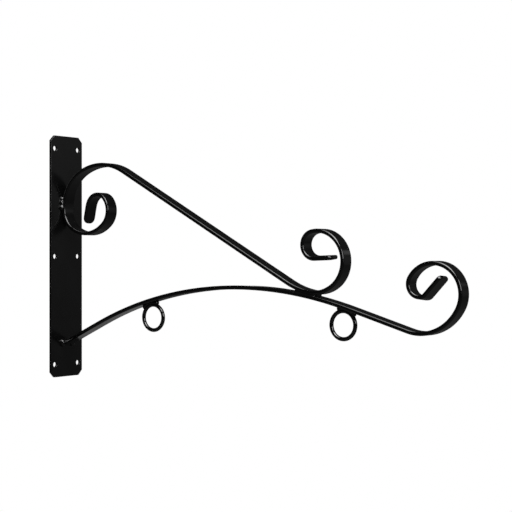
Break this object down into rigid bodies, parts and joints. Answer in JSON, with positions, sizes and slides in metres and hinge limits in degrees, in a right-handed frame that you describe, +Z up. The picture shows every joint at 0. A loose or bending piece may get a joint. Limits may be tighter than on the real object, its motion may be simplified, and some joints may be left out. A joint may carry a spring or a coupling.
{
  "type": "hanging sign bracket",
  "caption": "Wall bracket for a hanging sign: screw-on plate, arched bar and curved brace that end in scrolls, and welded rings below.",
  "frame": {"origin": "centre of the wall plate's back face, which lies on the wall", "axes": "+X points away from the wall along the bracket, +Y across the plate, +Z up"},
  "size_m": [0.6134, 0.06, 0.33],
  "materials": {
    "plate_coat": "semi-gloss black powder coat",
    "bar_coat": "semi-gloss black powder coat",
    "ring_coat": "semi-gloss black powder coat",
    "weld_coat": "semi-gloss black powder coat over weld"
  },
  "bodies": {
    "root": {"wall_plate": "plate_coat", "lower_scroll_bar": "bar_coat", "upper_scroll_bar": "bar_coat", "inner_sign_ring": "ring_coat", "outer_sign_ring": "ring_coat", "lower_bar_weld": "weld_coat", "upper_bar_weld": "weld_coat", "bar_joint_weld": "weld_coat", "inner_ring_weld": "weld_coat", "outer_ring_weld": "weld_coat"}
  },
  "joints": []
}
